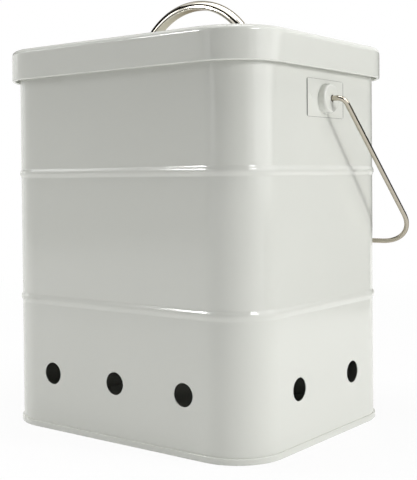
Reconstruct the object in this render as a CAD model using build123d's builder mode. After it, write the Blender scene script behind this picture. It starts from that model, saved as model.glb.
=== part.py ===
from build123d import *
import math
import os

os.makedirs("parts", exist_ok=True)

# A sheet-metal onion canister, in millimetres. +Z is up, the front faces -Y, and the
# origin is the middle of the base, on the surface that the canister stands on.

# Driving dimensions of the body
sheet = 0.45
body_width = 194.0
body_depth = 160.0
body_height = 238.3
corner_radius = 29.0
rim_curl_diameter = 3.45
lower_bead_height = 80.8
upper_bead_drop = 78.2
bead_width = 6.0
bead_depth = 0.9

# Driving dimensions of the vents and of the lap where the wrapped sheet's ends meet
vent_diameter = 13.5
vent_height = 35.2
front_vent_spacing = 52.2
side_vent_spacing = 61.4
lap_width = 8.0
lap_clearance = 0.3

# Driving dimensions of the bottom seam and the base sheet
seam_height = 3.8
seam_gap = 0.05
seam_hook_relief = 0.3
base_rise = 3.9
base_land = 2.0

# Driving dimensions of the lid
lid_depth = 19.6
lid_edge_radius = 3.5
lid_clearance = 0.5
lid_seat_gap = 0.1
hem_diameter = 2.0
hem_height = 4.0
lid_land = 2.0

# Driving dimensions of the lid handle and its fixings
handle_rise = 32.8
handle_arch_radius = 51.6
handle_width = 7.6
handle_thickness = 6.0
handle_side_height = 0.8
handle_crown_width = 3.2
handle_shoulder_radius = 9.0
handle_foot_height = 5.0
screw_diameter = 3.0
screw_clearance = 0.2
thread_clearance = 0.05
screw_grip = 6.0
thread_spare = 1.0
screw_head_diameter = 6.0
screw_head_height = 2.4
washer_diameter = 7.0
washer_thickness = 0.5

# Driving dimensions of the ears
ear_drop = 35.7
ear_length = 41.5
ear_height = 22.4
ear_sheet = 0.8
ear_corner = 1.2
boss_diameter = 17.5
boss_height = 5.4
boss_bevel = 1.0

# Driving dimensions of the bail
wire_diameter = 3.0
bail_hole_clearance = 0.5
bail_standoff = 13.2
bail_reach = 121.0
bail_splay = 3.8
bail_bend_radius = 5.0
bail_corner_radius = 24.0
bail_rest_gap = 0.3
bail_head_diameter = 5.6
bail_head_length = 1.5
bail_end_gap = 1.2

# Sizes worked out from those above
half_width = body_width / 2
half_depth = body_depth / 2
rim_out = rim_curl_diameter - sheet
lid_overhang = rim_out + lid_clearance + hem_diameter
lid_under = body_height + lid_seat_gap
lid_top = lid_under + sheet
lid_bottom = lid_top - lid_depth
upper_bead_height = body_height - upper_bead_drop
pivot_height = body_height - ear_drop

# The line that every sheet edge follows: the wall's outer face, seen from above
with BuildLine() as wall_line:
    FilletPolyline(
        (half_width, 0),
        (half_width, half_depth),
        (-half_width, half_depth),
        (-half_width, 0),
        radius=corner_radius,
    )
    mirror(about=Plane.XZ)
wall_outline = wall_line.wire()


def wall_face(wall, low, high):
    """Corners of the wall's outer face from one height to another, with both raised beads."""
    points = [(wall, low)]
    for bead_height in (lower_bead_height, upper_bead_height):
        points += [
            (wall, bead_height - bead_width / 2),
            (wall + bead_depth, bead_height),
            (wall, bead_height + bead_width / 2),
        ]
    return points + [(wall, high)]


# Body: one wrapped sheet, from its hook in the bottom seam up to its curled rim
hook_face = half_width + sheet + 2 * seam_gap
hook_floor = 2 * sheet + seam_gap
hook_top = seam_height - sheet - seam_gap - seam_hook_relief
rim_face = half_width + rim_out - sheet
rim_under = body_height - sheet
rim_return = body_height - rim_curl_diameter + sheet
rim_bevel = (rim_curl_diameter - 2 * sheet) * (1 - math.sqrt(0.5))
lap_bottom = base_rise + lap_clearance
lap_top = body_height - rim_curl_diameter

with BuildPart() as body_shell:
    with BuildSketch(Plane.XZ):
        with BuildLine():
            Polyline(
                (hook_face, hook_top),
                (hook_face, hook_floor),
                *wall_face(half_width, hook_floor, rim_under - rim_bevel),
                (half_width + rim_bevel, rim_under),
                (rim_face - rim_bevel, rim_under),
                (rim_face, rim_under - rim_bevel),
                (rim_face, rim_return + rim_bevel),
                (rim_face - rim_bevel, rim_return),
            )
            offset(amount=sheet, side=Side.LEFT, kind=Kind.INTERSECTION)
        make_face()
    sweep(path=wall_outline)
    # One end of the sheet laps inside the other at the middle of the back
    with BuildSketch(Plane.YZ):
        with BuildLine():
            Polyline(*wall_face(half_depth, lap_bottom, lap_top))
            offset(amount=2 * sheet, side=Side.LEFT, kind=Kind.INTERSECTION)
        make_face()
    extrude(amount=lap_width / 2, both=True)
    # Vents punched through the front and back, then through the two sides
    with BuildSketch(Plane.XZ):
        with Locations((0, vent_height)):
            with GridLocations(front_vent_spacing, 0, 3, 1):
                RegularPolygon(vent_diameter / 2, 24)
    extrude(amount=body_depth, both=True, mode=Mode.SUBTRACT)
    with BuildSketch(Plane.YZ):
        with Locations((0, vent_height)):
            with GridLocations(side_vent_spacing, 0, 2, 1):
                RegularPolygon(vent_diameter / 2, 24)
    extrude(amount=body_width, both=True, mode=Mode.SUBTRACT)
body_shell.part.label = "body_shell"
export_step(body_shell.part, "parts/body_shell.step")

# Base: a sheet set up inside the body, its edge folded out, up and down over the body's hook
seam_face = half_width + 3 * (sheet + seam_gap)
chuck_face = half_width - 2 * sheet - seam_gap
end_hook_face = half_width + seam_gap
end_hook_tip = hook_floor + seam_gap
base_panel_out = chuck_face - base_land / 2 - half_width

with BuildPart() as bottom_pan:
    with BuildSketch(Plane.XZ):
        with BuildLine():
            Polyline(
                (chuck_face - base_land, base_rise - sheet),
                (chuck_face, base_rise - sheet),
                (chuck_face, 0),
                (seam_face, 0),
                (seam_face, seam_height),
                (end_hook_face, seam_height),
                (end_hook_face, end_hook_tip),
            )
            offset(amount=sheet, side=Side.RIGHT, kind=Kind.INTERSECTION)
        make_face()
    sweep(path=wall_outline)
    with BuildSketch(Plane.XY.offset(base_rise - sheet)):
        RectangleRounded(
            body_width + 2 * base_panel_out, body_depth + 2 * base_panel_out, corner_radius + base_panel_out
        )
    extrude(amount=sheet)
bottom_pan.part.label = "bottom_pan"
export_step(bottom_pan.part, "parts/bottom_pan.step")

# Lid handle, shaped here so that the lid's holes can use its feet
arch_center = lid_top + handle_rise - handle_arch_radius
arch_inner_radius = handle_arch_radius - handle_thickness
foot_top = lid_top + handle_foot_height
arch_half_angle = math.acos((foot_top - arch_center) / (arch_inner_radius - handle_shoulder_radius))
arch_half_turn = math.degrees(arch_half_angle)
shoulder_x = (arch_inner_radius - handle_shoulder_radius) * math.sin(arch_half_angle)
foot_x = shoulder_x + handle_shoulder_radius
screw_x = foot_x + handle_thickness / 2

with BuildPart() as lid_handle:
    with BuildLine(Plane.XZ) as handle_line:
        Line((foot_x, lid_top), (foot_x, foot_top))
        CenterArc((shoulder_x, foot_top), handle_shoulder_radius, 0, 90 - arch_half_turn)
        CenterArc((0, arch_center), arch_inner_radius, 90 - arch_half_turn, 2 * arch_half_turn)
        CenterArc((-shoulder_x, foot_top), handle_shoulder_radius, 90 + arch_half_turn, 90 - arch_half_turn)
        Line((-foot_x, foot_top), (-foot_x, lid_top))
    with BuildSketch(Plane.XY.offset(lid_top)):
        with BuildLine():
            Polyline(
                (foot_x, -handle_width / 2),
                (foot_x + handle_side_height, -handle_width / 2),
                (foot_x + handle_thickness, -handle_crown_width / 2),
                (foot_x + handle_thickness, handle_crown_width / 2),
                (foot_x + handle_side_height, handle_width / 2),
                (foot_x, handle_width / 2),
                close=True,
            )
        make_face()
    sweep(path=handle_line.wire())
    with BuildSketch(Plane.XY.offset(lid_top)):
        with Locations((screw_x, 0), (-screw_x, 0)):
            RegularPolygon(screw_diameter / 2 + thread_clearance, 16)
    extrude(amount=screw_grip + thread_spare, mode=Mode.SUBTRACT)
lid_handle.part.label = "lid_handle"
export_step(lid_handle.part, "parts/lid_handle.step")

# Lid: one pressing, with a rolled top edge, a skirt and a hem turned up inside it
lid_face = half_width + lid_overhang
lid_edge_x = lid_face - lid_edge_radius
hem_face = lid_face - hem_diameter
hem_top = lid_bottom + hem_height
edge_out = lid_edge_radius * math.sqrt(0.5)
lid_panel_out = lid_overhang - lid_edge_radius - lid_land / 2

with BuildPart() as lid_shell:
    with BuildSketch(Plane.XZ):
        with BuildLine():
            Polyline(
                (lid_edge_x - lid_land, lid_top),
                (lid_edge_x, lid_top),
                (lid_edge_x + edge_out, lid_top - lid_edge_radius + edge_out),
                (lid_face, lid_top - lid_edge_radius),
                (lid_face, lid_bottom),
                (hem_face, lid_bottom),
                (hem_face, hem_top),
            )
            offset(amount=sheet, side=Side.RIGHT, kind=Kind.INTERSECTION)
        make_face()
    sweep(path=wall_outline)
    with BuildSketch(Plane.XY.offset(lid_under)):
        RectangleRounded(
            body_width + 2 * lid_panel_out, body_depth + 2 * lid_panel_out, corner_radius + lid_panel_out
        )
    extrude(amount=sheet)
    with BuildSketch(Plane.XY.offset(lid_under)):
        with Locations((screw_x, 0), (-screw_x, 0)):
            RegularPolygon(screw_diameter / 2 + screw_clearance, 16)
    extrude(amount=sheet, mode=Mode.SUBTRACT)
lid_shell.part.label = "lid_shell"
export_step(lid_shell.part, "parts/lid_shell.step")

# Washers under the lid's sheet, and pan-head screws up through them into the handle's feet
washer_under = lid_under - washer_thickness
with BuildPart() as handle_washers:
    with BuildSketch(Plane.XY.offset(washer_under)):
        with Locations((screw_x, 0), (-screw_x, 0)):
            RegularPolygon(washer_diameter / 2, 16)
            RegularPolygon(screw_diameter / 2 + screw_clearance, 16, mode=Mode.SUBTRACT)
    extrude(amount=washer_thickness)
handle_washers.part.label = "handle_washers"
export_step(handle_washers.part, "parts/handle_washers.step")

with BuildPart() as handle_screws:
    with BuildSketch(Plane.XY.offset(washer_under)):
        with Locations((screw_x, 0), (-screw_x, 0)):
            RegularPolygon(screw_head_diameter / 2, 16)
    extrude(amount=-screw_head_height)
    with BuildSketch(Plane.XY.offset(washer_under)):
        with Locations((screw_x, 0), (-screw_x, 0)):
            RegularPolygon(screw_diameter / 2, 16)
    extrude(amount=washer_thickness + sheet + screw_grip)
handle_screws.part.label = "handle_screws"
export_step(handle_screws.part, "parts/handle_screws.step")

# Ears: a plate spot-welded flat on each side wall, with a hollow boss pressed out of it
boss_radius = boss_diameter / 2
boss_face = half_width + boss_height
boss_inner_radius = boss_radius - ear_sheet
bail_hole_radius = wire_diameter / 2 + bail_hole_clearance

with BuildPart() as ear_right:
    with BuildSketch(Plane.YZ.offset(half_width)):
        with Locations((0, pivot_height)):
            plate = Rectangle(ear_length, ear_height)
            chamfer(plate.vertices(), ear_corner)
            Circle(boss_inner_radius, mode=Mode.SUBTRACT)
    extrude(amount=ear_sheet)
    with BuildSketch(Plane.XZ):
        with BuildLine():
            Polyline(
                (half_width, pivot_height + boss_radius),
                (boss_face - boss_bevel, pivot_height + boss_radius),
                (boss_face, pivot_height + boss_radius - boss_bevel),
                (boss_face, pivot_height + bail_hole_radius),
                (boss_face - ear_sheet, pivot_height + bail_hole_radius),
                (boss_face - ear_sheet, pivot_height + boss_inner_radius),
                (half_width, pivot_height + boss_inner_radius),
                close=True,
            )
        make_face()
    revolve(axis=Axis((0, 0, pivot_height), (1, 0, 0)))
ear_right.part.label = "ear_right"
export_step(ear_right.part, "parts/ear_right.step")

with BuildPart() as ear_left:
    mirror(ear_right.part, about=Plane.YZ)
ear_left.part.label = "ear_left"
export_step(ear_left.part, "parts/ear_left.step")

# Bail: one bent wire that hangs back against the wall, with an upset head in each boss
bail_angle = math.asin((half_depth + bail_rest_gap + wire_diameter / 2) / bail_reach)
bail_plane = Plane(
    (0, 0, pivot_height), x_dir=(1, 0, 0), z_dir=(0, math.cos(bail_angle), math.sin(bail_angle))
)
bail_end = half_width + bail_end_gap
bail_leg = half_width + bail_standoff
bail_corner = bail_leg + bail_reach * math.tan(math.radians(bail_splay))

with BuildPart() as bail_wire:
    with BuildLine(bail_plane) as bail_line:
        FilletPolyline(
            (bail_end, 0),
            (bail_leg, 0),
            (bail_corner, bail_reach),
            (-bail_corner, bail_reach),
            (-bail_leg, 0),
            (-bail_end, 0),
            radius=(bail_bend_radius, bail_corner_radius, bail_corner_radius, bail_bend_radius),
        )
    with BuildSketch(Plane.YZ.offset(bail_end)):
        with Locations((0, pivot_height)):
            RegularPolygon(wire_diameter / 2, 8)
    sweep(path=bail_line.wire())
    for plane in (Plane.YZ.offset(bail_end), Plane.YZ.offset(-bail_end - bail_head_length)):
        with BuildSketch(plane):
            with Locations((0, pivot_height)):
                RegularPolygon(bail_head_diameter / 2, 16)
        extrude(amount=bail_head_length)
bail_wire.part.label = "bail_wire"
export_step(bail_wire.part, "parts/bail_wire.step")
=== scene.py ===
import math

import bpy
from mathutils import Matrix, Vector


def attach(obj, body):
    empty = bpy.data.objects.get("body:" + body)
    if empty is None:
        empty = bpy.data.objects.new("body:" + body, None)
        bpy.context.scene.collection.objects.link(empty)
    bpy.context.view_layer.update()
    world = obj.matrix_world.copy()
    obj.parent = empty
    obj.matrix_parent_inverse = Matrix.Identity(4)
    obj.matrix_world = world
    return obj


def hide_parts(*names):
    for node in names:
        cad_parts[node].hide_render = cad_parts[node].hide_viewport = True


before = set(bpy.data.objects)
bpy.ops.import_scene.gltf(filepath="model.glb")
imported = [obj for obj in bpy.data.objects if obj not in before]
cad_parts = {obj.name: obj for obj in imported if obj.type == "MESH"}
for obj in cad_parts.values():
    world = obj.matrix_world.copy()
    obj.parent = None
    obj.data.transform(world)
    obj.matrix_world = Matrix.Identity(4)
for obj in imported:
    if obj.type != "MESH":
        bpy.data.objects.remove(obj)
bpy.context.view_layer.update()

# The viewpoint: a camera at table height, near the front right corner and level with the
# upper half of the canister, with a moderately long lens.
camera_place = (0.38872, -0.49455, 0.15654)
tilt_down, roll, turn_left = 0.0195, 0.0092, 0.6538
bpy.ops.object.camera_add(
    location=camera_place,
    rotation=(math.pi / 2 - tilt_down, roll, turn_left),
)
camera = bpy.context.object
camera.name = "viewpoint"
camera.data.sensor_fit = "AUTO"
camera.data.sensor_width = 36
camera.data.lens = 71.96
camera.data.shift_y = -0.0912
bpy.context.scene.camera = camera


# Body: one steel sheet, 0.45 mm thick, wrapped into a round-cornered tube with its ends lapped
# at the middle of the back. Two beads stiffen it, its rim is curled outwards, and air vents are
# punched low in all four sides. It is powder coated in a warm off-white.
MM = 0.001
sheet = 0.45 * MM
body_x, body_y, corner = 97 * MM, 80 * MM, 29 * MM
rim_height, rim_curl = 238.3 * MM, 1.725 * MM
bead_heights, bead_width, bead_depth = (80.8 * MM, 160.1 * MM), 6.6 * MM, 0.95 * MM
vent_radius, vent_height = 6.75 * MM, 35.2 * MM
front_vent_step, side_vent_out, punch_length = 52.2 * MM, 30.7 * MM, 250 * MM
lap_bottom, lap_top, lap_width = 4.3 * MM, 234.6 * MM, 8 * MM
slit_width, slit_depth, past_beads = 0.35 * MM, 0.25 * MM, 2 * MM
same_point, same_level, same_ring = 0.005 * MM, 0.001 * MM, 0.2 * MM


def select_only(piece):
    """This piece alone selected and active, in object mode."""
    if bpy.context.object and bpy.context.object.mode == "EDIT":
        bpy.ops.object.mode_set(mode="OBJECT")
    bpy.ops.object.select_all(action="DESELECT")
    if piece:
        bpy.context.view_layer.objects.active = piece
        piece.select_set(True)


def draw_edge(name, points, closed=False):
    """A piece's section drawn as a chain of edges, left selected in edit mode."""
    select_only(None)
    bpy.ops.mesh.primitive_plane_add(size=MM)
    piece = bpy.context.object
    piece.name = name
    bpy.ops.object.mode_set(mode="EDIT")
    bpy.ops.mesh.merge(type="CENTER")
    points = [Vector(p) for p in points]
    bpy.ops.transform.translate(value=points[0])
    for here, there in zip(points, points[1:]):
        bpy.ops.mesh.extrude_region_move(TRANSFORM_OT_translate={"value": there - here})
    bpy.ops.mesh.select_all(action="SELECT")
    if closed:
        bpy.ops.mesh.edge_face_add()
        bpy.ops.mesh.delete(type="ONLY_FACE")
        bpy.ops.mesh.select_all(action="SELECT")
    return piece


def close_up():
    """The mesh in edit mode with its doubles merged and its faces turned outwards."""
    bpy.ops.mesh.select_all(action="SELECT")
    bpy.ops.mesh.remove_doubles(threshold=same_point)
    bpy.ops.mesh.normals_make_consistent(inside=False)
    bpy.ops.object.mode_set(mode="OBJECT")


def wrap_round(steps=20):
    """The drawn section taken once round the canister's plan, from the middle of the back."""
    flat_x, flat_y = body_x - corner, body_y - corner
    runs = (
        ((flat_x, 0, 0), (flat_x, flat_y, 0)),
        ((0, -2 * flat_y, 0), (flat_x, -flat_y, 0)),
        ((-2 * flat_x, 0, 0), (-flat_x, -flat_y, 0)),
        ((0, 2 * flat_y, 0), (-flat_x, flat_y, 0)),
    )
    for run, axis in runs:
        bpy.ops.mesh.extrude_region_move(TRANSFORM_OT_translate={"value": run})
        bpy.ops.mesh.spin(steps=steps, angle=math.pi / 2, center=axis, axis=(0, 0, 1))
    bpy.ops.mesh.extrude_region_move(TRANSFORM_OT_translate={"value": (flat_x, 0, 0)})


def apply_modifier(piece, kind, **settings):
    """One modifier set up and applied to the piece."""
    modifier = piece.modifiers.new(kind.title(), kind)
    for name, value in settings.items():
        setattr(modifier, name, value)
    select_only(piece)
    bpy.ops.object.modifier_apply(modifier=modifier.name)


def cut_away(piece, tool):
    """The tool's shape cut out of the piece, and the tool deleted."""
    apply_modifier(piece, "BOOLEAN", operation="DIFFERENCE", object=tool, solver="EXACT")
    bpy.data.objects.remove(tool, do_unlink=True)


def pick_vertices(piece, chosen):
    """The vertices whose place the chosen test accepts, left selected in edit mode."""
    bpy.ops.object.mode_set(mode="EDIT")
    bpy.ops.mesh.select_mode(type="VERT")
    bpy.ops.mesh.select_all(action="DESELECT")
    bpy.ops.object.mode_set(mode="OBJECT")
    for vertex in piece.data.vertices:
        vertex.select = chosen(vertex.co)
    bpy.ops.object.mode_set(mode="EDIT")


def finish_surface(piece):
    """Smooth shading, with flat stretches kept flat and creases past 40 degrees kept sharp."""
    select_only(piece)
    bpy.ops.object.shade_smooth_by_angle(angle=math.radians(40))
    apply_modifier(piece, "WEIGHTED_NORMAL", keep_sharp=True, weight=80)


def cover(piece, material):
    """The whole piece in this one material."""
    piece.data.materials.clear()
    piece.data.materials.append(material)


def arc(center_out, center_z, radius, start, turn, steps):
    """Points on an arc of a section, from start degrees on through turn degrees."""
    angles = [math.radians(start + turn * step / steps) for step in range(steps + 1)]
    return [(center_out + radius * math.cos(a), center_z + radius * math.sin(a)) for a in angles]


class Shade:
    """A socket of a material, which Python's own operators and its node method build on."""

    def __init__(self, tree, socket):
        self.tree, self.socket = tree, socket

    def node(self, kind, settings=None, out=0, **inputs):
        """A node of this kind, with its settings made first and then its sockets filled. A socket
        goes by its name, or by an underscore and its number."""
        made = self.tree.nodes.new(kind)
        for name, value in (settings or {}).items():
            setattr(made, name, value)
        for name, value in inputs.items():
            key = int(name[1:]) if name[0] == "_" else name.replace("_", " ")
            if isinstance(value, Shade):
                self.tree.links.new(value.socket, made.inputs[key])
            else:
                made.inputs[key].default_value = value
        return Shade(self.tree, made.outputs[out])

    def maths(self, operation, *values):
        """A Math node on these values."""
        places = {f"_{place}": value for place, value in enumerate(values)}
        return self.node("ShaderNodeMath", {"operation": operation}, **places)

    def __add__(self, other):
        return self.maths("ADD", self, other)

    def __radd__(self, other):
        return self.maths("ADD", other, self)

    def __sub__(self, other):
        return self.maths("SUBTRACT", self, other)

    def __rsub__(self, other):
        return self.maths("SUBTRACT", other, self)

    def __mul__(self, other):
        return self.maths("MULTIPLY", self, other)

    def __rmul__(self, other):
        return self.maths("MULTIPLY", other, self)

    def __gt__(self, other):
        return self.maths("GREATER_THAN", self, other)

    def __lt__(self, other):
        return self.maths("LESS_THAN", self, other)


def new_material(name):
    """A material's shader, its object coordinates, and a way to fill the shader's sockets."""
    material = bpy.data.materials.new(name)
    material.use_nodes = True
    tree = material.node_tree
    shader = tree.nodes["Principled BSDF"]
    place = Shade(tree, tree.nodes.new("ShaderNodeTexCoord").outputs["Object"])

    def fill(**inputs):
        for socket_name, value in inputs.items():
            socket = shader.inputs[socket_name.replace("_", " ")]
            if isinstance(value, Shade):
                tree.links.new(value.socket, socket)
            else:
                socket.default_value = value

    return material, place, fill


def blend_colours(place, amount, first, second):
    """Two colours mixed by an amount."""
    colours = {"_6": first, "_7": second}
    return place.node("ShaderNodeMix", {"data_type": "RGBA"}, out=2, _0=amount, **colours)


def powder_coat(name, thin_coat_and_shade=None):
    """Glossy powder coat on thin sheet, with faint orange peel and waviness, a slight drift and
    rare nibs. Where the given mask picks a place, a dark colour is painted there, partly bare steel
    under a thin coat and partly painted shade."""
    material, place, fill = new_material(name)
    drift = place.node("ShaderNodeTexNoise", Vector=place, Scale=7.0, Detail=2.0, Roughness=0.5)
    wave = place.node("ShaderNodeTexNoise", Vector=place, Scale=16.0, Detail=1.0, Roughness=0.4)
    peel = place.node("ShaderNodeTexNoise", Vector=place, Scale=420.0, Detail=2.0, Roughness=0.45)
    grain = place.node("ShaderNodeTexNoise", Vector=place, Scale=1500.0, Detail=1.0, Roughness=0.5)
    nibs = place.node("ShaderNodeTexVoronoi", {"feature": "F1"}, Vector=place, Scale=45.0)
    nib_size = 0.022
    darkest, palest = (0.762, 0.772, 0.718, 1), (0.8, 0.81, 0.756, 1)
    # dark steel under a thin coat, also painted along the ear plate's edges as painted shade
    bare_steel_and_shade = (0.08, 0.08, 0.075, 1)
    tone = blend_colours(place, drift, darkest, palest)
    if thin_coat_and_shade:
        tone = blend_colours(place, thin_coat_and_shade(place), tone, bare_steel_and_shade)
    # heights in millimetres
    surface = wave * 0.22 + peel * 0.013 + grain * 0.004 + (nibs < nib_size) * 0.04
    bump = place.node("ShaderNodeBump", Strength=1.0, Distance=MM, Height=surface)
    fill(Base_Color=tone, Roughness=0.10 + drift * 0.04, Normal=bump, Metallic=0.0, IOR=1.5)
    return material


wall_foot, half_bead = 0.95 * MM, 8
wall_line = [(0, wall_foot)]
for bead_height in bead_heights:
    for step in range(-half_bead, half_bead + 1):
        swell = math.cos(math.pi / 2 * step / half_bead) ** 2
        wall_line.append((bead_depth * swell, bead_height + bead_width / 2 * step / half_bead))
inner_curl = rim_curl - sheet
wall_line += arc(inner_curl, rim_height - rim_curl, inner_curl, 180, -300, 24)
body = draw_edge("body", [(0, body_y + out, z) for out, z in wall_line])
wrap_round()
close_up()
apply_modifier(body, "SOLIDIFY", thickness=sheet, offset=-1)

# the lap: the sheet's outer end shows as a fine line down the back, over a strip that it laps
select_only(None)
lap_middle = (lap_bottom + lap_top) / 2
bpy.ops.mesh.primitive_cube_add(size=1, location=(lap_width / 2, body_y, lap_middle))
slit = bpy.context.object
slit.scale = (slit_width, 2 * slit_depth, lap_top - lap_bottom)
bpy.ops.object.transform_apply(location=True, rotation=True, scale=True)
pick_vertices(slit, lambda point: point.y > body_y)
bpy.ops.transform.translate(value=(0, past_beads, 0))
bpy.ops.object.mode_set(mode="OBJECT")
cut_away(body, slit)
strip_line = [(0, lap_bottom)]
strip_line += [point for point in wall_line if lap_bottom < point[1] < lap_top]
strip_line += [(0, lap_top)]
strip = draw_edge("strip", [(-lap_width / 2, body_y - sheet + out, z) for out, z in strip_line])
bpy.ops.mesh.extrude_region_move(TRANSFORM_OT_translate={"value": (lap_width, 0, 0)})
close_up()
if strip.data.polygons[0].normal.y < 0:
    bpy.ops.object.mode_set(mode="EDIT")
    bpy.ops.mesh.flip_normals()
    bpy.ops.object.mode_set(mode="OBJECT")
apply_modifier(strip, "SOLIDIFY", thickness=sheet, offset=-1)
select_only(body)
strip.select_set(True)
bpy.ops.object.join()

# the vents: three through the front and back, then two through the sides
for places, turn in (
    (((-front_vent_step, 0), (0, 0), (front_vent_step, 0)), (math.pi / 2, 0, 0)),
    (((0, -side_vent_out), (0, side_vent_out)), (0, math.pi / 2, 0)),
):
    select_only(None)
    punches = []
    for x, y in places:
        bpy.ops.mesh.primitive_cylinder_add(
            vertices=64,
            radius=vent_radius,
            depth=punch_length,
            location=(x, y, vent_height),
            rotation=turn,
        )
        punches.append(bpy.context.object)
    for punch in punches:
        punch.select_set(True)
    bpy.ops.object.join()
    punch = bpy.context.object
    bpy.ops.object.transform_apply(location=True, rotation=True, scale=True)
    cut_away(body, punch)
finish_surface(body)
coat = powder_coat("powder_coat")
cover(body, coat)
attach(body, "canister")
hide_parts("body_shell")


# Base: a steel sheet set up inside the body, its edge folded out, up and down over the body's
# lower edge and rolled tight into a double seam, which the canister stands on.
panel_in, panel_under, panel_bend = 4 * MM, 3.45 * MM, 0.4 * MM
seam_gap, seam_top, hook_tip = 0.05 * MM, 3.8 * MM, 2.4 * MM
foot_bend, top_bend = 0.85 * MM, 0.6 * MM
seam_in, seam_out = -2 * sheet - seam_gap, 3 * (sheet + seam_gap)
base_line = [(-panel_in, panel_under)]
base_line += arc(seam_in - panel_bend, panel_under - panel_bend, panel_bend, 90, -90, 4)
base_line += arc(seam_in + foot_bend, foot_bend, foot_bend, 180, 90, 6)
base_line += arc(seam_out - foot_bend, foot_bend, foot_bend, 270, 90, 6)
base_line += arc(seam_out - top_bend, seam_top - top_bend, top_bend, 0, 90, 6)
base_line += arc(seam_gap + top_bend, seam_top - top_bend, top_bend, 90, 90, 6)
base_line += [(seam_gap, hook_tip)]
base = draw_edge("base", [(0, body_y + out, z) for out, z in base_line])
wrap_round()


def on_panel_edge(point):
    """True on the section's inner end, which the flat panel fills."""
    past_x = max(abs(point.x) - (body_x - corner), 0)
    past_y = max(abs(point.y) - (body_y - corner), 0)
    inner_end = math.hypot(past_x, past_y) < corner - panel_in + same_ring
    return inner_end and abs(point.z - panel_under) < same_level


pick_vertices(base, on_panel_edge)
bpy.ops.mesh.remove_doubles(threshold=same_point)
bpy.ops.mesh.edge_face_add()
close_up()
apply_modifier(base, "SOLIDIFY", thickness=sheet, offset=-1)
finish_surface(base)
cover(base, coat)
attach(base, "canister")
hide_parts("bottom_pan")


# Lid: one pressing that drops over the rim, with a rolled top edge, a straight skirt and a hem
# turned up inside the skirt's lower edge.
lid_top, lid_bottom = 238.85 * MM, 219.25 * MM
lid_out, lid_roll, hem, hem_height = 5.5 * MM, 3.5 * MM, 1.0 * MM, 4 * MM
lid_line = arc(lid_out - lid_roll, lid_top - lid_roll, lid_roll, 90, -90, 10)
lid_line += arc(lid_out - hem, lid_bottom + hem, hem, 0, -180, 10)
lid_line += [(lid_out - 2 * hem, lid_bottom + hem_height)]
lid = draw_edge("lid", [(0, body_y + out, z) for out, z in lid_line])
wrap_round(24)
pick_vertices(lid, lambda point: point.z > lid_top - same_level)
bpy.ops.mesh.remove_doubles(threshold=same_point)
bpy.ops.mesh.edge_face_add()
close_up()
apply_modifier(lid, "SOLIDIFY", thickness=sheet, offset=-1)
finish_surface(lid)
cover(lid, coat)
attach(lid, "lid")
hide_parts("lid_shell")


# Lid handle: a bright plated bar of half-oval section, bent up from two short legs into a low
# arch. Its flat side faces down, and its two feet stand on the lid.
arch_z, arch_radius = 220.05 * MM, 45.6 * MM
shoulder_radius, foot_top = 9 * MM, 243.85 * MM
arch_half = math.acos((foot_top - arch_z) / (arch_radius - shoulder_radius))
shoulder_x = (arch_radius - shoulder_radius) * math.sin(arch_half)
foot_x = shoulder_x + shoulder_radius
bar_half, bar_edge, bar_crown = 3.8 * MM, 0.8 * MM, 5.2 * MM
bar_line = [(bar_edge + bar_crown * up, bar_half * y) for up, y in arc(0, 0, 1, -90, 180, 28)]
bar_line += arc(bar_edge, bar_half - bar_edge, bar_edge, 90, 90, 5)[1:]
bar_line += arc(bar_edge, bar_edge - bar_half, bar_edge, 180, 90, 5)[:-1]
handle = draw_edge("handle", [(foot_x + out, y, lid_top) for out, y in bar_line], closed=True)
bpy.ops.mesh.extrude_region_move(TRANSFORM_OT_translate={"value": (0, 0, foot_top - lid_top)})
shoulder = math.pi / 2 - arch_half
bpy.ops.mesh.spin(steps=12, angle=shoulder, center=(shoulder_x, 0, foot_top), axis=(0, 1, 0))
bpy.ops.mesh.spin(steps=48, angle=2 * arch_half, center=(0, 0, arch_z), axis=(0, 1, 0))
bpy.ops.mesh.spin(steps=12, angle=shoulder, center=(-shoulder_x, 0, foot_top), axis=(0, 1, 0))
bpy.ops.mesh.extrude_region_move(TRANSFORM_OT_translate={"value": (0, 0, lid_top - foot_top)})
bpy.ops.mesh.select_all(action="SELECT")
bpy.ops.mesh.fill_holes(sides=0)
close_up()
finish_surface(handle)


def bright_metal(name, colour, roughness):
    """Plated or polished metal, with faint smears in its shine."""
    material, place, fill = new_material(name)
    smears = place.node("ShaderNodeTexNoise", Vector=place, Scale=90.0, Detail=3.0, Roughness=0.6)
    ripple = place.node("ShaderNodeTexNoise", Vector=place, Scale=260.0, Detail=1.0, Roughness=0.5)
    bump = place.node("ShaderNodeBump", Strength=0.2, Distance=0.04 * MM, Height=ripple)
    fill(
        Base_Color=(*colour, 1),
        Metallic=1.0,
        Specular_Tint=(0.35, 0.31, 0.26, 1),
        Roughness=roughness + smears * 0.04,
        Normal=bump,
    )
    return material


cover(handle, bright_metal("bright_plate", (0.64, 0.61, 0.53), 0.03))
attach(handle, "lid")
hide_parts("lid_handle")


# Ears: a steel plate that stands a little off each side wall on two spot-welded dimples. A hollow
# boss, in which the bail's end turns, is pressed out of its middle. It is coated with the body.
pivot_z, ear_sheet, ear_lift = 202.6 * MM, 0.8 * MM, 0.3 * MM
ear_y, ear_z, ear_corner = 20.75 * MM, 11.2 * MM, 1.2 * MM
boss_radius, boss_height, boss_round, boss_foot = 8.75 * MM, 5.4 * MM, 1.5 * MM, 0.5 * MM
boss_hole = 2 * MM
weld_y, weld_radius, weld_depth = 16.9 * MM, 2.3 * MM, 0.5 * MM
dimple_steps = ((0.3, 0.85), (0.5, 0.7), (0.2, 0.5))  # share of the depth, and how far it narrows
# how far in from the plate's ends and sides the dark band is painted, and how dark: partly thin
# coat, partly painted shade
thin_coat_shade_end, thin_coat_shade_side, thin_coat_shade_amount = 0.4 * MM, 0.12 * MM, 0.9
plate_x = body_x + ear_sheet
all_round = (0, 345, 23)  # 24 points, as an arc's start, turn and steps


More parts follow.
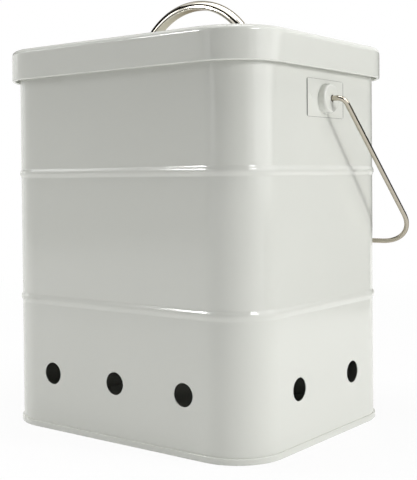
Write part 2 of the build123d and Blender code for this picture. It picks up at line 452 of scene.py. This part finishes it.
def mirror_copy(piece, name):
    """The piece's twin on the left side, with a mesh of its own."""
    select_only(piece)
    bpy.ops.object.duplicate()
    twin = bpy.context.object
    twin.name = name
    bpy.ops.object.mode_set(mode="EDIT")
    bpy.ops.mesh.select_all(action="SELECT")
    bpy.ops.transform.mirror(constraint_axis=(True, False, False), center_override=(0, 0, 0))
    bpy.ops.mesh.normals_make_consistent(inside=False)
    bpy.ops.object.mode_set(mode="OBJECT")
    return twin


outline = []
for y, z, start in ((1, 1, 0), (-1, 1, 90), (-1, -1, 180), (1, -1, 270)):
    outline += arc(y * (ear_y - ear_corner), z * (ear_z - ear_corner), ear_corner, start, 90, 5)
rings = [draw_edge("plate", [(plate_x, y, pivot_z + z) for y, z in outline], closed=True)]
for y in (-weld_y, weld_y):
    ring = arc(y, pivot_z, weld_radius, *all_round)
    rings.append(draw_edge("weld", [(plate_x, *point) for point in ring], closed=True))
    centre = (plate_x, y, pivot_z)
    for share, factor in dimple_steps:
        inwards = (-share * weld_depth, 0, 0)
        bpy.ops.mesh.extrude_region_move(TRANSFORM_OT_translate={"value": inwards})
        bpy.ops.transform.resize(value=(1, factor, factor), center_override=centre)
    bpy.ops.mesh.edge_face_add()
boss_line = [(boss_height, boss_hole)]
boss_line += arc(boss_height - boss_round, boss_radius - boss_round, boss_round, 0, 90, 8)
boss_line += arc(ear_sheet + boss_foot, boss_radius + boss_foot, boss_foot, 270, -90, 5)
ear = draw_edge("ear_right", [(body_x + out, 0, pivot_z + up) for out, up in boss_line])
bpy.ops.mesh.spin(steps=64, angle=2 * math.pi, center=(body_x, 0, pivot_z), axis=(1, 0, 0))
select_only(ear)
for ring in rings:
    ring.select_set(True)
bpy.ops.object.join()
bpy.ops.object.mode_set(mode="EDIT")
bpy.ops.mesh.select_all(action="SELECT")
bpy.ops.mesh.remove_doubles(threshold=same_point)
pick_vertices(ear, lambda point: abs(point.x - plate_x) < same_level)
bpy.ops.mesh.fill(use_beauty=True)
close_up()
apply_modifier(ear, "SOLIDIFY", thickness=ear_sheet - ear_lift, offset=-1)
finish_surface(ear)


def edge_thin_coat_and_shade(place):
    """The plate's sheared edges painted dark: partly the thin coat over bare steel, partly painted
    shade for the shadow line where the plate stands off the wall.
    """
    y, z = (place.node("ShaderNodeSeparateXYZ", out=out, Vector=place) for out in (1, 2))
    along, up = y.maths("ABSOLUTE", y), y.maths("ABSOLUTE", z - pivot_z)
    edge = y.maths("MAXIMUM", along > ear_y - thin_coat_shade_end, up > ear_z - thin_coat_shade_side)
    return edge * thin_coat_shade_amount


# the plate's edges are painted dark, partly thin coat over steel and partly painted shade for the
# shadow line at the edge
cover(ear, powder_coat("ear_coat", edge_thin_coat_and_shade))
for piece, node in ((ear, "ear_right"), (mirror_copy(ear, "ear_left"), "ear_left")):
    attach(piece, "canister")
    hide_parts(node)


# Bail: one 3 mm steel wire, bent out of each boss and round into a wide loop. It hangs down
# behind the canister, and its ends are upset into small heads inside the bosses.
wire_radius, bail_end, bail_leg, bail_reach = 1.5 * MM, 98.2 * MM, 110.2 * MM, 121 * MM
bend_radius, bail_corner, wall_gap = 5 * MM, 24 * MM, 0.3 * MM
splay = math.radians(3.8)
swing = math.asin((body_y + wall_gap + wire_radius) / bail_reach)
across, along = Vector((1, 0, 0)), Vector((0, math.sin(swing), -math.cos(swing)))
bail_axis = Vector((0, math.cos(swing), math.sin(swing)))
pivot = Vector((0, 0, pivot_z))
first_bend, wide_bend = math.pi / 2 - splay, math.pi / 2 + splay
first_set, wide_set = bend_radius * math.tan(first_bend / 2), bail_corner * math.tan(wide_bend / 2)
corner_out = bail_leg + bail_reach * math.tan(splay)
head_radius, head_face, head_edge, head_land = 2.8 * MM, 2.3 * MM, 0.3 * MM, 0.9 * MM

# the wire from end to end: heads as steps of length and radius, runs by length, and bends by
# angle, radius and number of steps
stub = ("run", bail_leg - first_set - bail_end - 2 * head_edge - head_land)
elbow = ("bend", first_bend, bend_radius, 12)
arm = ("run", bail_reach / math.cos(splay) - first_set - wide_set)
sweep = ("bend", wide_bend, bail_corner, 24)
grip = ("run", 2 * corner_out - 2 * wide_set)
full = ((head_edge, head_radius), (head_land, head_radius))
first_head = ("head", (*full, (head_edge, wire_radius)))
last_head = ("head", (*full, (head_edge, head_face)))
moves = (first_head, stub, elbow, arm, sweep, grip, sweep, arm, elbow, stub, last_head)
ring_radius = head_face
section = [(bail_end, y, pivot_z + z) for y, z in arc(0, 0, ring_radius, *all_round)]
bail = draw_edge("bail", section, closed=True)
here, heading = pivot + across * bail_end, 0.0
for move in moves:
    forward = across * math.cos(heading) + along * math.sin(heading)
    if move[0] == "head":
        for length, radius in move[1]:
            bpy.ops.mesh.extrude_region_move(TRANSFORM_OT_translate={"value": forward * length})
            here = here + forward * length
            bpy.ops.transform.resize(value=(radius / ring_radius,) * 3, center_override=here)
            ring_radius = radius
    elif move[0] == "run":
        bpy.ops.mesh.extrude_region_move(TRANSFORM_OT_translate={"value": forward * move[1]})
        here = here + forward * move[1]
    else:
        inward = along * math.cos(heading) - across * math.sin(heading)
        middle = here + inward * move[2]
        bpy.ops.mesh.spin(steps=move[3], angle=move[1], center=middle, axis=-bail_axis)
        heading += move[1]
        outward = across * math.sin(heading) - along * math.cos(heading)
        here = middle + outward * move[2]
bpy.ops.mesh.select_all(action="SELECT")
bpy.ops.mesh.fill_holes(sides=0)
close_up()
finish_surface(bail)
cover(bail, bright_metal("bail_wire", (0.52, 0.48, 0.40), 0.03))
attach(bail, "bail")
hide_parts("bail_wire")


# Handle fixings: two zinc-plated pan-head machine screws with washers, up through the lid into
# the handle's feet. Only their heads show, inside the lid.
screw_radius, screw_end, tip_cut, screw_in_foot = 1.5 * MM, 6.95 * MM, 0.4 * MM, 3 * MM
pan_radius, pan_height, pan_round, pan_edge = 3 * MM, 2.4 * MM, 1.4 * MM, 0.2 * MM
washer_hole, washer_radius, washer_thick, washer_edge = 1.7 * MM, 3.5 * MM, 0.5 * MM, 0.12 * MM
slot_width, slot_length = 0.9 * MM, 3.4 * MM
washer_under, screw_x = lid_top - sheet - washer_thick, foot_x + screw_in_foot
screw_line = [(0, -pan_height)]
screw_line += arc(pan_radius - pan_round, pan_round - pan_height, pan_round, 270, 90, 8)
screw_line += arc(pan_radius - pan_edge, -pan_edge, pan_edge, 0, 90, 3)
screw_line += [(screw_radius, 0), (screw_radius, screw_end - tip_cut)]
screw_line += [(screw_radius - tip_cut, screw_end), (0, screw_end)]
in_edge, out_edge = washer_hole + washer_edge, washer_radius - washer_edge
low_edge, high_edge = washer_edge, washer_thick - washer_edge
washer_line = []
for out, up, start in (
    (in_edge, low_edge, 180),
    (out_edge, low_edge, 270),
    (out_edge, high_edge, 0),
    (in_edge, high_edge, 90),
):
    washer_line += arc(out, up, washer_edge, start, 90, 3)
zinc = bright_metal("zinc", (0.62, 0.62, 0.64), 0.25)
for name, node, line, closed in (
    ("screw", "handle_screws", screw_line, False),
    ("washer", "handle_washers", washer_line, True),
):
    points = [(screw_x + out, 0, washer_under + up) for out, up in line]
    fixing = draw_edge(name + "_right", points, closed=closed)
    bpy.ops.mesh.spin(steps=40, angle=2 * math.pi, center=(screw_x, 0, 0), axis=(0, 0, 1))
    close_up()
    if name == "screw":
        for width, length in ((slot_width, slot_length), (slot_length, slot_width)):
            select_only(None)
            pan_face = (screw_x, 0, washer_under - pan_height)
            bpy.ops.mesh.primitive_cube_add(size=1, location=pan_face)
            slot = bpy.context.object
            slot.scale = (width, length, pan_height)
            bpy.ops.object.transform_apply(location=True, rotation=True, scale=True)
            cut_away(fixing, slot)
    finish_surface(fixing)
    cover(fixing, zinc)
    for piece in (fixing, mirror_copy(fixing, name + "_left")):
        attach(piece, "lid")
        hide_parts(node)


# The studio: a plain white floor and surround, one large soft box overhead, a small lamp and a
# broad one on the right, a broad and a narrow one on the left, and cards seen in reflections only.


def seen_plainly(tree):
    """One for rays seen straight, in a mirror or through glass, and nought for diffuse light."""
    path = tree.nodes.new("ShaderNodeLightPath")
    camera_ray, glossy_ray, clear_ray = (
        Shade(tree, path.outputs[f"Is {kind} Ray"]) for kind in ("Camera", "Glossy", "Transmission")
    )
    return camera_ray + glossy_ray + clear_ray


select_only(None)
bpy.ops.mesh.primitive_plane_add(size=8)
floor = bpy.context.object
floor.name = "floor"
material, place, fill = new_material("white_floor")
fill(Base_Color=(0.95, 0.95, 0.95, 1), Roughness=0.9)
tree = material.node_tree
away = place.node("ShaderNodeVectorMath", {"operation": "LENGTH"}, out=1, _0=place)
# near the canister a tenth of the floor's own shading shows, which keeps the shadow there
near_edge, far_edge, own_share = 0.2, 0.9, 0.1
open_floor = place.node(
    "ShaderNodeMapRange",
    Value=away,
    From_Min=near_edge,
    From_Max=far_edge,
    To_Min=1 - own_share,
    To_Max=1.0,
)
matt = Shade(tree, tree.nodes["Principled BSDF"].outputs[0])
glow = place.node("ShaderNodeEmission", Color=(1, 1, 1, 1), Strength=1.0)
mixed = place.node("ShaderNodeMixShader", _0=seen_plainly(tree) * open_floor, _1=matt, _2=glow)
tree.links.new(mixed.socket, tree.nodes["Material Output"].inputs["Surface"])
cover(floor, material)

world = bpy.data.worlds.new("studio")
bpy.context.scene.world = world
world.use_nodes = True
background = world.node_tree.nodes["Background"]
background.inputs["Color"].default_value = (1, 1, 1, 1)
soft_fill = 0.1
strength = soft_fill + seen_plainly(world.node_tree) * (1 - soft_fill)
world.node_tree.links.new(strength.socket, background.inputs["Strength"])

# the cards stand round the middle of the lid's handle, where the bright metal mirrors them
handle_middle = Vector((0, 0, 0.26))


def aim_at(place, aim):
    """The turn that points a lamp or a card at one place from another."""
    return (Vector(aim) - Vector(place)).to_track_quat("-Z", "Y").to_euler()


def stand_at(around, up, away):
    """A place by its angle round the handle, its angle above it, and its distance."""
    around, up = math.radians(around), math.radians(up)
    out = Vector((math.cos(around) * math.cos(up), math.sin(around) * math.cos(up), math.sin(up)))
    return handle_middle + out * away


# dark flags, paler cards and two small bright spots, each by its place, size and glow
for name, around, up, away, width, height, glow in (
    ("front_flag", -62, 24, 1.75, 2.5, 1.75, 0.0),
    ("back_flag", 110, 72, 1.2, 1.4, 0.55, 0.4),
    ("upper_card", -120, 62, 1.2, 0.95, 0.5, 2.2),
    ("left_flag", -127, 38, 1.15, 1.15, 0.36, 0.0),
    ("side_flag", -168, 27, 1.15, 0.72, 0.72, 0.0),
    ("low_flag", -135, 3, 1.15, 1.3, 0.57, 0.25),
    ("right_flag", 70, -1, 1.3, 2.5, 0.42, 0.0),
    ("near_flag", 38, -22, 0.62, 0.8, 0.2, 0.0),
    ("high_card", 15, 42, 1.3, 1.4, 0.7, 2.6),
    ("far_flag", 152, 22, 1.3, 0.95, 0.62, 0.0),
    ("left_spot", -127, 24, 1.3, 0.17, 0.2, 42.0),
    ("right_spot", -14, 26, 1.3, 0.28, 0.2, 26.0),
):
    place = stand_at(around, up, away)
    bpy.ops.mesh.primitive_plane_add(size=1, location=place, rotation=aim_at(place, handle_middle))
    card = bpy.context.object
    card.name = name
    card.scale = (width, height, 1)
    material, _, fill = new_material(name)
    fill(Base_Color=(0, 0, 0, 1), Roughness=1.0)
    fill(Emission_Color=(1, 1, 1, 1), Emission_Strength=glow)
    cover(card, material)
    card.visible_camera = card.visible_diffuse = card.visible_shadow = False

# the lamps, by place, aim, size and watts
for name, place, aim, width, height, watts in (
    ("overhead", (0.0, 0.0, 1.6), (0.0, -0.001, 0.0), 1.2, 0.8, 14.5),
    ("key", (1.4, 0.3, 0.57), (0.0, 0.0, 0.13), 0.25, 0.25, 6.0),
    ("side_box", (1.4, 0.3, 0.57), (0.0, 0.0, 0.13), 1.4, 0.9, 5.9),
    ("left", (-1.24, -0.45, 0.83), (0.0, 0.0, 0.13), 0.9, 0.9, 8.2),
    ("accent", (-0.755, -1.12, 0.92), (0.0, 0.0, 0.2), 0.5, 0.14, 1.35),
):
    bpy.ops.object.light_add(type="AREA", location=place, rotation=aim_at(place, aim))
    lamp = bpy.context.object
    lamp.name = name
    lamp.data.shape = "RECTANGLE"
    lamp.data.size = width
    lamp.data.size_y = height
    lamp.data.energy = watts
# the small lamp is left out of reflections, where it would draw a hard streak on the lid
bpy.data.objects["key"].visible_glossy = False

bpy.context.scene.view_settings.view_transform = "Standard"
